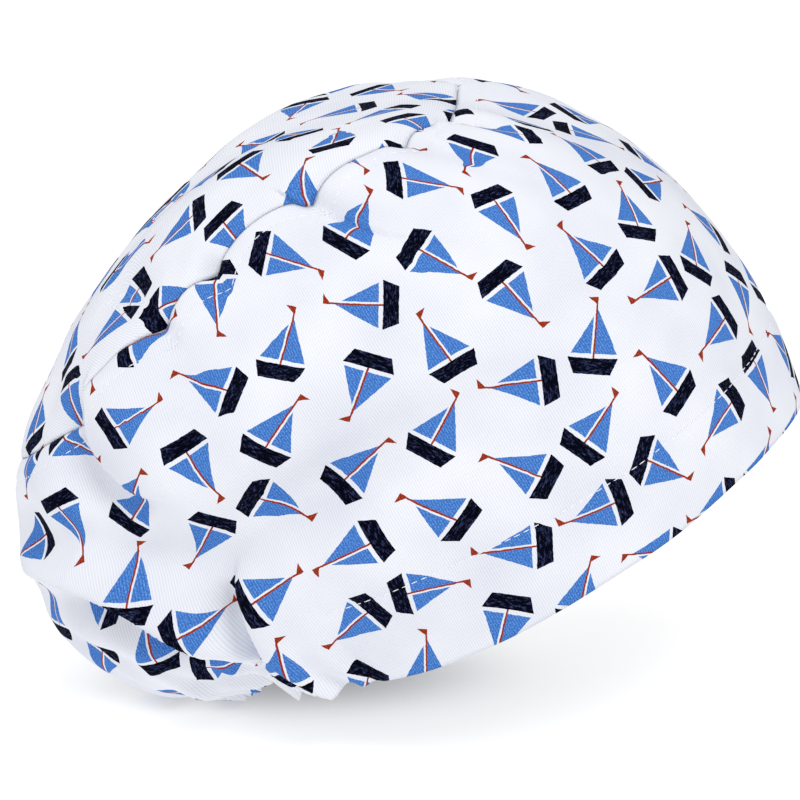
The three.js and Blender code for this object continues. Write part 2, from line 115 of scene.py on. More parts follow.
# Folds and dents: shares of foldHeight and foldWidth, then a path of (angle, level, strength)
folds = [
    (-0.7, 0.8, [(-36, 1.02, 0.4), (-45, 0.92, 1), (-43, 0.85, 0.7), (-38, 0.74, 0)]),
    (-0.7, 0.8, [(-80, 0.96, 1), (-77, 0.88, 0.9), (-72, 0.8, 0.5), (-64, 0.74, 0)]),
    (-0.4, 1.4, [(-76, 0.8, 0.6), (-72, 0.7, 1), (-68, 0.62, 0)]),
    (0.35, 2.0, [(-92, 0.84, 0.3), (-96, 0.72, 1), (-108, 0.66, 0.6)]),
    (-2.1, 1.3, [(-78, 0.5, 0), (-94, 0.46, 0.5), (-106, 0.46, 0.9), (-117, 0.47, 1), (-126, 0.48, 1),
                 (-133, 0.53, 0.9), (-140, 0.6, 0.6), (-147, 0.68, 0.2)]),
    (0.5, 1.4, [(-88, 0.58, 0), (-98, 0.6, 0.5), (-112, 0.63, 1), (-124, 0.65, 1), (-132, 0.69, 0)]),
    (0.4, 2.0, [(-86, 0.34, 0), (-106, 0.32, 1), (-118, 0.38, 0.8)]),
    (1.1, 1.2, [(-122, 0.99, 0.4), (-127, 0.9, 1), (-126, 0.78, 0.8), (-122, 0.7, 0)]),
    (-1.5, 1.0, [(-139, 0.99, 0.8), (-139, 0.86, 1), (-136, 0.75, 0.9), (-130, 0.665, 0.4)]),
    (0.7, 1.1, [(-150, 0.92, 0.4), (-149, 0.84, 1), (-143, 0.76, 0.5)]),
    (-0.6, 0.6, [(-168, 0.84, 0.2), (-158, 0.73, 1), (-149, 0.72, 0.8), (-142, 0.68, 0.2)]),
    (-0.6, 0.5, [(-172, 0.5, 0.2), (-163, 0.42, 1), (-153, 0.32, 0.8), (-146, 0.2, 0.3)]),
    (-0.7, 0.9, [(-162, 0.9, 0.4), (-158, 0.78, 1), (-150, 0.68, 0.4)]),
    (0.8, 1.0, [(-176, 0.69, 0.2), (-155, 0.66, 1), (-142, 0.5, 1), (-136, 0.3, 0.8),
                (-135, 0.18, 0.4)]),
    (-2.1, 0.85, [(-176, 0.59, 0.2), (-157, 0.55, 1), (-147, 0.44, 1), (-141, 0.27, 1),
                  (-140, 0.15, 0.5)]),
    (-1.9, 0.65, [(-126, 0.4, 0.3), (-128, 0.33, 1), (-131, 0.22, 1), (-136, 0.1, 1),
                  (-141, 0.02, 0.6)]),
    (-0.7, 0.4, [(-143, 0.02, 1), (-147, 0.14, 0.9), (-152, 0.26, 0)]),
    (0.6, 0.5, [(-145, 0.02, 1), (-150, 0.13, 0.9), (-155, 0.24, 0)]),
    (-0.7, 0.4, [(-149, 0.02, 1), (-154, 0.12, 0.8), (-160, 0.2, 0)]),
    (-0.6, 0.4, [(-134, 0.3, 0), (-136, 0.24, 0.8), (-141, 0.12, 1), (-144, 0.02, 0.8)]),
    (-0.7, 2.4, [(-170, 0.06, 0.3), (-158, 0.08, 1), (-146, 0.1, 1), (-138, 0.1, 0.3)]),
    (0.8, 1.0, [(-121, 0.36, 0.2), (-121, 0.25, 1), (-124, 0.1, 0.8)]),
    (-0.7, 1.3, [(2, 1.02, 0.6), (-4, 0.95, 1), (-9, 0.87, 0.7), (-8, 0.74, 0)]),
    (0.5, 1.6, [(14, 0.98, 0.8), (12, 0.9, 1), (10, 0.78, 0)]),
    (-0.3, 1.6, [(20, 0.72, 0), (26, 0.6, 1), (34, 0.5, 0)]),
    (-0.7, 0.9, [(46, 1.0, 1), (50, 0.9, 0.9), (56, 0.8, 0)]),
    (-0.5, 1.5, [(96, 0.96, 1), (92, 0.84, 0.9), (82, 0.72, 0)]),
    (-0.6, 1.9, [(74, 0.5, 0), (94, 0.46, 0.8), (114, 0.5, 1), (130, 0.58, 0.5)]),
    (0.4, 2.0, [(88, 0.32, 0), (104, 0.3, 1), (118, 0.34, 0.8)]),
    (1.0, 1.2, [(128, 0.98, 0.4), (131, 0.88, 1), (128, 0.76, 0.6)]),
    (-1.1, 1.0, [(143, 0.98, 0.8), (142, 0.86, 1), (137, 0.74, 0.4)]),
    (-0.7, 1.0, [(160, 0.88, 0.4), (156, 0.74, 1), (148, 0.62, 0.4)]),
    (0.8, 1.2, [(170, 0.56, 0.3), (154, 0.52, 1), (143, 0.38, 0.8)]),
    (-1.0, 1.2, [(172, 0.44, 0.3), (158, 0.38, 1), (147, 0.24, 0.8)]),
    (-1.1, 0.8, [(126, 0.4, 0.2), (129, 0.28, 1), (133, 0.12, 0.6)]),
    (-0.4, 1.3, [(-60, 1.1, 0.6), (-50, 1.35, 1), (-20, 1.6, 0)]),
    (0.4, 1.6, [(-95, 1.15, 0.5), (-90, 1.4, 1), (-70, 1.7, 0)]),
    (-0.5, 1.2, [(-118, 1.05, 0.8), (-122, 1.3, 1), (-130, 1.6, 0)]),
    (-0.6, 1.3, [(-150, 1.04, 0.6), (-156, 1.3, 1), (-168, 1.55, 0)]),
    (-0.5, 1.4, [(100, 1.06, 0.8), (106, 1.3, 1), (120, 1.6, 0)]),
    (0.4, 1.5, [(60, 1.15, 0.5), (66, 1.4, 1), (80, 1.7, 0)]),
    (-0.4, 1.2, [(176, 1.05, 0.6), (170, 1.3, 1), (160, 1.5, 0)]),
]

shapeSetting = {
    "foldHeight": 5 * mm, "foldWidth": 10 * mm, "tuckWidth": 0.45,
    "seamSink": 1.3 * mm, "seamGrooveWidth": 3.2 * mm, "seamLobeRise": 5 * mm, "lobeSpan": 24.0,
    "ruffleHeight": 2.4 * mm, "ruffleRise": 48 * mm, "ruffleCount": 15,
    "ruffleWander": 0.22, "wanderRate": 2.1, "wanderStart": 0.6,
    "gatherStart": 116.0, "gatherEase": 8.0,    # degrees from the brow
}

# Where the elastic draws the hem's edge up: angle, height in mm and spread in degrees
edgePulls = [(-132, 8.0, 16.0), (132, 8.0, 16.0), (-155, 3.5, 11.0)]


def sectionPoints(row, angle):
    turn = np.radians(angle)
    single, double = np.cos(turn), np.cos(2 * turn)
    level, browX, browZ, earX, earY, earZ, napeX, napeZ, browSquare, napeSquare = row
    square = napeSquare + (browSquare - napeSquare) * (1 + single) / 2
    across = (np.sin(turn) + square * np.sin(3 * turn)) / (1 - (browSquare + napeSquare) / 2)

    def around(brow, ear, nape):
        mean = (brow + nape + 2 * ear) / 4
        return mean + (brow - nape) / 2 * single + (mean - ear) * double

    return np.stack([capSize["length"] * around(browX, earX, napeX), capSize["width"] * earY * across,
                     capSize["height"] * around(browZ, earZ, napeZ)], -1)


def sectionSlopes(index, angle):
    last = len(sections) - 1
    before, after = sections[max(index - 1, 0)], sections[min(index + 1, last)]
    if index == last:
        across = sectionPoints(before, angle + 180) - sectionPoints(before, angle)
        return across / (2 * (after[0] - before[0]))
    return (sectionPoints(after, angle) - sectionPoints(before, angle)) / (after[0] - before[0])


def barePoints(angle, level):
    angle, level = np.broadcast_arrays(np.asarray(angle, float), np.asarray(level, float))
    points = np.zeros(angle.shape + (3,))
    for index in range(len(sections) - 1):
        low, high = sections[index][0], sections[index + 1][0]
        inside = (level < high) if index == 0 else (level >= low)
        if 0 < index < len(sections) - 2:
            inside = inside & (level < high)
        if not inside.any():
            continue
        a = angle[inside]
        t = ((level[inside] - low) / (high - low))[:, None]
        start = 2 * t ** 3 - 3 * t ** 2 + 1
        points[inside] = (
            sectionPoints(sections[index], a) * start
            + sectionSlopes(index, a) * (t ** 3 - 2 * t ** 2 + t) * (high - low)
            + sectionPoints(sections[index + 1], a) * (1 - start)
            + sectionSlopes(index + 1, a) * (t ** 3 - t ** 2) * (high - low))
    return points


# Steps for measuring slopes, in degrees and in levels
angleStep, levelStep = 0.5, 0.004


def bareSlopes(angle, level):
    # how the surface runs per degree round the head and per level up the cap
    inner = np.clip(level, levelStep, 2 - 2 * levelStep)
    around = barePoints(angle + angleStep, inner) - barePoints(angle - angleStep, inner)
    up = barePoints(angle, inner + levelStep) - barePoints(angle, inner - levelStep)
    return around / (2 * angleStep), up / (2 * levelStep)


def bareNormals(angle, level):
    normal = np.cross(*bareSlopes(angle, level))
    return normal / np.linalg.norm(normal, axis=-1, keepdims=True)


def wrapAngle(angle):
    return angle - 360 * np.round(angle / 360)


def smoothStep(value, low, high):
    t = np.clip((value - low) / (high - low), 0, 1)
    return t * t * (3 - 2 * t)


def clothPerLevel(angle, level):
    low = np.maximum(np.asarray(level, float), levelStep) - levelStep
    run = barePoints(angle, low + 2 * levelStep) - barePoints(angle, low)
    return np.linalg.norm(run, axis=-1) / (2 * levelStep)


tuckAngles = np.array(sorted(tuck[0] for tuck in tucks), float)


def seamLevel(angle):
    here = wrapAngle(np.asarray(angle, float))
    index = np.searchsorted(tuckAngles, here, side="right")
    ringed = np.concatenate([[tuckAngles[-1] - 360], tuckAngles, [tuckAngles[0] + 360]])
    last, following = ringed[index], ringed[index + 1]
    span = following - last
    lobe = np.sin(np.pi * (here - last) / span) * np.minimum(span / shapeSetting["lobeSpan"], 1)
    return 1 + lobe * shapeSetting["seamLobeRise"] / clothPerLevel(here, np.ones_like(here))


def edgeLevel(angle):
    pull = sum(height * mm * np.exp(-(wrapAngle(angle - middle) / spread) ** 2)
               for middle, height, spread in edgePulls)
    return pull / clothPerLevel(angle, np.zeros_like(angle))


def creaseLift(points, height, width, path, strengths):
    nearest = np.full(points.shape[:-1], np.inf)
    strength = np.zeros(points.shape[:-1])
    for start, end, fromStrength, toStrength in zip(path[:-1], path[1:], strengths[:-1], strengths[1:]):
        along = end - start
        t = np.clip(((points - start) @ along) / (along @ along), 0, 1)
        distance = np.linalg.norm(points - start - t[..., None] * along, axis=-1)
        closer = distance < nearest
        nearest = np.where(closer, distance, nearest)
        strength = np.where(closer, fromStrength + (toStrength - fromStrength) * t, strength)
    return height * strength * np.exp(-(nearest / width) ** 2)


def smoothPath(rows, steps=6):
    # the fold's few points joined by a curve that passes through them
    rows = np.array(rows, float)
    padded = np.vstack([2 * rows[0] - rows[1], rows, 2 * rows[-1] - rows[-2]])
    curve = []
    for index in range(1, len(padded) - 2):
        before, start, end, after = padded[index - 1:index + 3]
        for t in np.arange(steps) / steps:
            curve.append(0.5 * (2 * start + (end - before) * t
                                + (2 * before - 5 * start + 4 * end - after) * t ** 2
                                + (3 * start - before - 3 * end + after) * t ** 3))
    curve.append(rows[-1])
    return np.array(curve)


# Folds that lie over themselves: height, gentle and steep width and hidden cloth in mm, then the
# crest as (angle, level, strength); the steep side is on the left of the path seen from outside
overFolds = [
    (3.6, 9.0, 2.2, 9.0, [(-134, 0.2, 0.4), (-136, 0.33, 0.9), (-139, 0.44, 1), (-143, 0.52, 1),
                          (-149, 0.61, 1), (-156, 0.66, 0.8), (-164, 0.685, 0.35), (-172, 0.69, 0)]),
    (3.4, 7.0, 2.0, 7.0, [(-141, 0.01, 0), (-134, 0.11, 0.8), (-128, 0.2, 1), (-125, 0.3, 1),
                          (-124, 0.37, 0.7), (-122, 0.43, 0)]),
    (3.4, 9.0, 2.4, 9.0, [(-125, 0.65, 0), (-131, 0.715, 0.8), (-134.5, 0.81, 1), (-136, 0.91, 1),
                          (-134, 1.0, 0.7)]),
    (1.8, 8.0, 2.4, 1.0, [(-66, 0.75, 0), (-73, 0.81, 0.7), (-78, 0.9, 1), (-80, 1.01, 1)]),
    (1.5, 7.0, 2.2, 1.0, [(-38, 0.72, 0), (-43, 0.8, 0.7), (-45, 0.88, 1), (-40, 0.96, 1),
                          (-30, 1.02, 0.8)]),
    (2.0, 8.0, 2.2, 5.0, [(176, 0.62, 0), (163, 0.6, 0.8), (151, 0.52, 1), (144, 0.4, 0.9),
                          (138, 0.2, 0.3)]),
    (2.2, 7.0, 2.0, 5.0, [(122, 0.4, 0), (125, 0.32, 1), (129, 0.18, 1), (137, 0.04, 0.7)]),
]

slipSetting = {
    "lean": 0.95,               # how far a crest is pushed over, as a share of its height
    "turnLine": 1.9 * mm,       # where the cloth turns under, past the crest's path
    "turnWidth": 0.9 * mm,
    "foldReach": 14 * mm,
    "tuckSlip": 5.5 * mm,
    "tuckReach": 9 * mm,
}


def nearestOnPath(points, path, values):
    # distance to a path, its value at the nearest place, the way out from there and its direction
    nearest = np.full(points.shape[:-1], np.inf)
    value = np.zeros(points.shape[:-1])
    offset, heading = np.zeros(points.shape), np.zeros(points.shape)
    for start, end, fromValue, toValue in zip(path[:-1], path[1:], values[:-1], values[1:]):
        along = end - start
        t = np.clip(((points - start) @ along) / (along @ along), 0, 1)
        away = points - start - t[..., None] * along
        distance = np.linalg.norm(away, axis=-1)
        closer = distance < nearest
        nearest = np.where(closer, distance, nearest)
        value = np.where(closer, fromValue + (toValue - fromValue) * t, value)
        offset = np.where(closer[..., None], away, offset)
        heading = np.where(closer[..., None], along / np.linalg.norm(along), heading)
    return nearest, value, offset, heading


def overFoldMoves(points, normals):
    # how far the cloth is lifted and pushed over, and how much of it is tucked out of sight
    move, hidden = np.zeros(points.shape), np.zeros(points.shape)
    for height, gentle, steep, tucked, rows in overFolds:
        curve = smoothPath(rows)
        path = barePoints(curve[:, 0], curve[:, 1])
        distance, strength, offset, heading = nearestOnPath(points, path, np.clip(curve[:, 2], 0, 1))
        leftward = np.cross(normals, heading)
        across = np.sum(offset * leftward, -1)
        width = np.where(across > 0, steep, gentle) * mm
        crest = height * mm * strength * np.exp(-(distance / width) ** 2)
        move += normals * crest[..., None] + leftward * (slipSetting["lean"] * crest)[..., None]
        side = np.tanh((across - slipSetting["turnLine"]) / slipSetting["turnWidth"])
        pulled = -0.5 * side * tucked * mm * strength * np.exp(-distance / slipSetting["foldReach"])
        hidden += leftward * pulled[..., None]
    return move, hidden


def slipAlong(angle, level, hidden):
    # the place on the cloth that has slipped by a length given in space
    around, up = bareSlopes(angle, level)
    aa, au, uu = np.sum(around * around, -1), np.sum(around * up, -1), np.sum(up * up, -1)
    ha, hu = np.sum(around * hidden, -1), np.sum(up * hidden, -1)
    whole = aa * uu - au * au
    return angle + (ha * uu - hu * au) / whole, level + (hu * aa - ha * au) / whole


def tuckSlip(points, normals):
    # print drawn into the small tucks at the seam
    hidden = np.zeros(points.shape)
    for angle, depth, reach in tucks:
        ends = barePoints(np.array([angle, angle], float), np.array([1.02, 1 - reach]))
        distance, strength, offset, heading = nearestOnPath(points, ends, [1, 0])
        leftward = np.cross(normals, heading)
        side = np.tanh(np.sum(offset * leftward, -1) / slipSetting["turnWidth"])
        slip = slipSetting["tuckSlip"] * depth * strength
        pulled = -0.5 * side * slip * np.exp(-distance / slipSetting["tuckReach"])
        hidden += leftward * pulled[..., None]
    return hidden


def foldLift(points):
    lift = np.zeros(points.shape[:-1])
    for height, width, rows in folds:
        curve = smoothPath(rows)
        path = barePoints(curve[:, 0], curve[:, 1])
        lift += creaseLift(points, height * shapeSetting["foldHeight"],
                           width * shapeSetting["foldWidth"], path, np.clip(curve[:, 2], 0, 1))
    for angle, depth, reach in tucks:
        ends = barePoints(np.array([angle, angle], float), np.array([1, 1 - reach]))
        lift += creaseLift(points, -depth * shapeSetting["foldHeight"],
                           shapeSetting["tuckWidth"] * shapeSetting["foldWidth"], ends, [1, 0])
    return lift


def ruffleLift(angle, level):
    back = np.abs(wrapAngle(angle))
    start = shapeSetting["gatherStart"]
    inZone = smoothStep(back, start, start + shapeSetting["gatherEase"])
    rise = level * clothPerLevel(angle, np.full_like(level, 0.1))
    fade = np.exp(-(rise / shapeSetting["ruffleRise"]) ** 2)
    turn = wrapAngle(angle - 180) / (2 * (180 - start)) * shapeSetting["ruffleCount"]
    wander = np.sin(shapeSetting["wanderRate"] * turn + shapeSetting["wanderStart"])
    wave = np.cos(2 * np.pi * (turn + shapeSetting["ruffleWander"] * wander))
    return shapeSetting["ruffleHeight"] * inZone * fade * (0.5 - 0.5 * wave)


def clothPoints(angle, level, gathered=True):
    points = barePoints(angle, level)
    fromSeam = np.abs(level - seamLevel(angle)) * clothPerLevel(angle, level)
    groove = shapeSetting["seamSink"] * np.exp(-fromSeam / shapeSetting["seamGrooveWidth"])
    lift = foldLift(points) - groove
    if gathered:
        lift = lift + ruffleLift(angle, level)
    return points + bareNormals(angle, level) * lift[..., None]


# Laying cloth flat: a coarse net of the worn piece is relaxed on a table until its threads have
# the lengths that they have on the head
def layFlat(points, start, rounds=900, ease=1.7):
    rows, columns = points.shape[:2]
    number = np.arange(rows * columns).reshape(rows, columns)
    # threads run along, up and across the net both ways
    pairs = [(number[:, :-1], number[:, 1:]), (number[:-1], number[1:]),
             (number[:-1, :-1], number[1:, 1:]), (number[:-1, 1:], number[1:, :-1])]
    first = np.concatenate([pair[0].ravel() for pair in pairs])
    second = np.concatenate([pair[1].ravel() for pair in pairs])
    worn, flat = points.reshape(-1, 3), start.reshape(-1, 2).copy()
    knots = len(flat)
    rest = np.linalg.norm(worn[second] - worn[first], axis=1)
    count = np.bincount(first, minlength=knots) + np.bincount(second, minlength=knots)
    for _ in range(rounds):
        gap = flat[second] - flat[first]
        length = np.maximum(np.linalg.norm(gap, axis=1), 1e-9)
        push = gap * (0.5 * (1 - rest / length))[:, None]
        for axis in range(2):
            move = np.bincount(first, push[:, axis], knots) - np.bincount(second, push[:, axis], knots)
            flat[:, axis] += ease * move / count
    return flat.reshape(rows, columns, 2)


def lookUp(net, row, column):
    # smooth values of a coarse net at any place on it
    def taps(place, count):
        low = np.clip(np.floor(place).astype(int), 0, count - 2)
        t = place - low
        shares = (-0.5 * t + t ** 2 - 0.5 * t ** 3, 1 - 2.5 * t ** 2 + 1.5 * t ** 3,
                  0.5 * t + 2 * t ** 2 - 1.5 * t ** 3, -0.5 * t ** 2 + 0.5 * t ** 3)
        return low, shares

    padded = np.pad(net, ((1, 1), (1, 1), (0, 0)), mode="reflect", reflect_type="odd")
    rowLow, rowShares = taps(row, net.shape[0])
    columnLow, columnShares = taps(column, net.shape[1])
    total = np.zeros(row.shape + net.shape[2:])
    for i, rowShare in enumerate(rowShares):
        for j, columnShare in enumerate(columnShares):
            total += padded[rowLow + i, columnLow + j] * (rowShare * columnShare)[..., None]
    return total


def flatArea(uv):
    a, b = uv[1:, 1:] - uv[:-1, :-1], uv[1:, :-1] - uv[:-1, 1:]
    return float(np.abs(a[..., 0] * b[..., 1] - a[..., 1] * b[..., 0]).sum() / 2)


def clothGrid(name, points, uv, weld, materials):
    # a flat grid of cloth, shaped on the head; weld closes it where its edges meet
    rows, columns = points.shape[:2]
    net = bmesh.new()
    bmesh.ops.create_grid(net, x_segments=columns - 1, y_segments=rows - 1, size=1)
    net.verts.ensure_lookup_table()
    mesh = bpy.data.meshes.new(name)
    net.to_mesh(mesh)
    net.free()
    mesh.vertices.foreach_set("co", points.reshape(-1).astype(np.float32))
    corners = np.zeros(len(mesh.loops), np.int32)
    mesh.loops.foreach_get("vertex_index", corners)
    layer = mesh.uv_layers.new(name="cutUV")
    layer.data.foreach_set("uv", uv.reshape(-1, 2)[corners].reshape(-1).astype(np.float32))
    if weld:
        net = bmesh.new()
        net.from_mesh(mesh)
        bmesh.ops.remove_doubles(net, verts=net.verts[:], dist=0.00001)
        bmesh.ops.dissolve_degenerate(net, edges=net.edges[:], dist=0.000001)
        net.to_mesh(mesh)
        net.free()
    for face in mesh.polygons:
        face.use_smooth = True
    for material in materials:
        mesh.materials.append(material)
    piece = bpy.data.objects.new(name, mesh)
    bpy.context.scene.collection.objects.link(piece)
    return piece


def giveThickness(piece, thickness):
    wall = piece.modifiers.new("clothWall", "SOLIDIFY")
    wall.thickness = thickness
    wall.offset = -1
    wall.use_even_offset = False
    wall.use_rim = True
    wall.material_offset = 1
    wall.material_offset_rim = 0


# Small uneven forms of real cloth: soft noise on a repeating lattice of seeded values
latticeSide = 32
lattice = np.random.default_rng(11).random((latticeSide,) * 3) * 2 - 1


def softNoise(points, scale, shift=0.0):
    place = points / scale + shift
    cell = np.floor(place).astype(int)
    t = place - cell
    t = t * t * (3 - 2 * t)
    total = np.zeros(points.shape[:-1])
    for corner in np.ndindex(2, 2, 2):
        share = np.prod([t[..., k] if corner[k] else 1 - t[..., k] for k in range(3)], axis=0)
        index = (cell + corner) % latticeSide
        total += share * lattice[index[..., 0], index[..., 1], index[..., 2]]
    return total


sewing = {
    "hemDepth": 30 * mm, "casingDepth": 15 * mm, "topStitch": 8.5 * mm,
    "hemRelief": 0.5 * mm, "stitchGroove": 0.45 * mm, "grooveWidth": 1.6 * mm,
    "puckerHeight": 0.45 * mm, "puckerLength": 7 * mm, "puckerReach": 8 * mm,
    "seamPuckers": 1.6, "reliefEase": 1 * mm, "hemEase": 2.0,
    "seamGap": 0.4 * mm, "layerGap": 0.4 * mm, "clothWall": 1.2 * mm, "turnedWall": 1.0 * mm,
    "casingWall": 2.4 * mm, "edgeInset": 1.2 * mm,
}

# The shifts take each kind of wrinkle from its own part of the noise
wrinkles = {
    "broad": 0.9 * mm, "broadScale": 38 * mm, "fine": 0.3 * mm, "fineScale": 13 * mm,
    "frill": 2.8 * mm, "frillDrop": 1.6 * mm, "frillRise": 20 * mm,
    "frillCount": 14, "frillSpan": 60.0,    # so many frills in so many degrees
    "frillLead": 3.0, "frillWander": 0.06, "frillWanderScale": 24 * mm,
    "fineShift": 7.3, "puckerShift": 3.1, "frillShift": 5.0,
}


def riseFromEdge(angle, level):
    # length of cloth from the hem's edge up to a level, along a line that runs up the cap
    highest, count = 1.1, 111
    steps = np.linspace(0, highest, count)
    angles = np.asarray(angle, float)
    unique, back = np.unique(np.round(angles, 3), return_inverse=True)
    lines = barePoints(unique[:, None], steps[None, :])
    runs = np.linalg.norm(np.diff(lines, axis=1), axis=-1)
    lengths = np.concatenate([np.zeros((len(unique), 1)), np.cumsum(runs, axis=1)], axis=1)
    edge = edgeLevel(unique)
    place = np.clip(level, 0, highest) / highest * (count - 1)
    low = np.minimum(place.astype(int), count - 2)
    back = back.reshape(angles.shape)
    rise = lengths[back, low] + (lengths[back, low + 1] - lengths[back, low]) * (place - low)
    start = np.array([np.interp(end, steps, row) for end, row in zip(edge, lengths)])
    return rise - start[back]


def levelAt(angle, rise):
    # the level at a length of cloth above the hem's edge
    steps = np.linspace(0, 0.6, 121)
    levels = []
    for one in np.atleast_1d(angle):
        rises = riseFromEdge(np.full(len(steps), one), steps)
        levels.append(np.interp(rise, rises, steps))
    return np.array(levels)


def wornPoints(angle, level):
    angle, level = np.broadcast_arrays(np.asarray(angle, float), np.asarray(level, float))
    points = clothPoints(angle, level)
    normals = bareNormals(angle, level)
    points = points + overFoldMoves(barePoints(angle, level), normals)[0]
    rise = riseFromEdge(angle, level)
    fromSeam = np.abs(level - seamLevel(angle)) * clothPerLevel(angle, level)
    back = np.abs(wrapAngle(angle))
    onBand = level < seamLevel(angle)
    start = shapeSetting["gatherStart"]
    hemmed = 1 - smoothStep(back, start - sewing["hemEase"], start + sewing["hemEase"])
    atNape = smoothStep(back, start - wrinkles["frillLead"], start + shapeSetting["gatherEase"])
    lift = wrinkles["broad"] * softNoise(points, wrinkles["broadScale"])
    lift += wrinkles["fine"] * softNoise(points, wrinkles["fineScale"], wrinkles["fineShift"])
    # the turned hem stands a little proud, with a sewn groove and puckers along its stitches
    fromStitch = rise - sewing["hemDepth"]
    ease = sewing["reliefEase"]
    lift += sewing["hemRelief"] * hemmed * (1 - smoothStep(fromStitch, -ease, ease))
    pucker = softNoise(points, sewing["puckerLength"], wrinkles["puckerShift"])
    near = hemmed * np.exp(-(fromStitch / sewing["puckerReach"]) ** 2)
    lift -= sewing["stitchGroove"] * hemmed * np.exp(-(fromStitch / sewing["grooveWidth"]) ** 2)
    lift += sewing["puckerHeight"] * near * pucker
    # the same along the stitches beside the seam
    fromTop = fromSeam - sewing["topStitch"]
    lift -= np.where(onBand, sewing["stitchGroove"] * np.exp(-(fromTop / sewing["grooveWidth"]) ** 2), 0)
    near = sewing["seamPuckers"] * np.exp(-(fromSeam / sewing["puckerReach"]) ** 2)
    lift += sewing["puckerHeight"] * near * pucker
    # short frills where the elastic draws the edge in
    wander = softNoise(points, wrinkles["frillWanderScale"], wrinkles["frillShift"])
    turn = wrinkles["frillCount"] * (back / wrinkles["frillSpan"] + wrinkles["frillWander"] * wander)
    frill = 0.5 + 0.5 * np.cos(2 * np.pi * turn)
    frilled = atNape * np.exp(-(rise / wrinkles["frillRise"]) ** 2)
    lift += wrinkles["frill"] * frilled * (frill - 0.5)
    dropped = wrinkles["frillDrop"] * frilled * (0.5 - frill)
    edgeRun = 0.12
    up = barePoints(angle, np.full_like(level, edgeRun)) - barePoints(angle, np.zeros_like(level))
    up /= np.linalg.norm(up, axis=-1, keepdims=True)
    return points + normals * lift[..., None] + up * dropped[..., None]


# Material nodes: a Thread is one value, and arithmetic on threads adds Math nodes
class Thread:
    def __init__(self, dye, socket):
        self.dye = dye
        self.socket = socket

    def work(self, operation, *others):
        inputs = dict(enumerate([self, *others]))
        return self.dye.node("ShaderNodeMath", {"operation": operation}, inputs)

    def __add__(self, other):
        return self.work("ADD", other)

    def __radd__(self, other):
        return self.dye.number(other).work("ADD", self)

    def __sub__(self, other):
        return self.work("SUBTRACT", other)

    def __rsub__(self, other):
        return self.dye.number(other).work("SUBTRACT", self)

    def __mul__(self, other):
        return self.work("MULTIPLY", other)

    def __rmul__(self, other):
        return self.dye.number(other).work("MULTIPLY", self)

    def __truediv__(self, other):
        return self.work("DIVIDE", other)

    def __neg__(self):
        return self.work("MULTIPLY", -1.0)

    def __lt__(self, other):
        return self.work("LESS_THAN", other)

    def __gt__(self, other):
        return self.work("GREATER_THAN", other)


class Dye:
    def __init__(self, name):
        self.material = bpy.data.materials.new(name)
        self.material.use_nodes = True
        self.tree = self.material.node_tree
        self.tree.nodes.clear()

    def number(self, value):
        # a plain number stands as the first value of a Math node
        return Thread(self, value)

    def node(self, kind, settings, inputs, out=0):
        made = self.tree.nodes.new(kind)
        for key, value in settings.items():
            setattr(made, key, value)
        for key, value in inputs.items():
            socket = made.inputs[key]
            held = value.socket if isinstance(value, Thread) else value
            if isinstance(held, bpy.types.NodeSocket):
                self.tree.links.new(held, socket)
            else:
                socket.default_value = held
        return Thread(self, made.outputs[out])

    def mixColour(self, factor, first, second):
        return self.node("ShaderNodeMix", {"data_type": "RGBA"}, {0: factor, 6: first, 7: second}, 2)

    def finish(self, surface):
        out = self.tree.nodes.new("ShaderNodeOutputMaterial")
        self.tree.links.new(surface.socket, out.inputs["Surface"])
        return self.material


def clamped(thread):
    return thread.work("MAXIMUM", 0.0).work("MINIMUM", 1.0)


def srgb(red, green, blue):
    def linear(value):
        share = value / 255
        return share / 12.92 if share <= 0.04045 else ((share + 0.055) / 1.055) ** 2.4
    return (linear(red), linear(green), linear(blue), 1.0)


dyes = {
    "cotton": srgb(236, 238, 243), "cottonShade": srgb(204, 208, 222),
    "hull": srgb(3, 4, 17), "hullFleck": srgb(80, 92, 146),
    "sail": srgb(54, 104, 182), "sailFleck": srgb(112, 164, 228),
    "mast": srgb(134, 40, 20), "mastFleck": srgb(184, 76, 46),
}

# The boats of the print, in millimetres of cloth: a common toy-boat figure on a tossed lattice
boat = {
    "pitch": 27.0, "sway": 1.1, "swayScale": 0.016, "edgeWobble": 0.3, "wobbleScale": 0.55,
    "hullFoot": -11.6, "hullDeck": -6.7, "hullHalf": 5.9, "hullFlare": 0.42, "deckDip": 0.003,
    "sailFoot": -5.3, "aftHalf": 7.5, "aftHead": 8.3, "foreHalf": 7.2, "foreHead": 6.4,
    "mastHalf": 0.3, "mastHead": 12.3, "sailGap": 0.9,
    "flagFoot": 9.9, "flagFly": 3.0,
    "scuffAlong": 0.55, "scuffUp": 1.6,    # how close the worn streaks of the hull lie
}


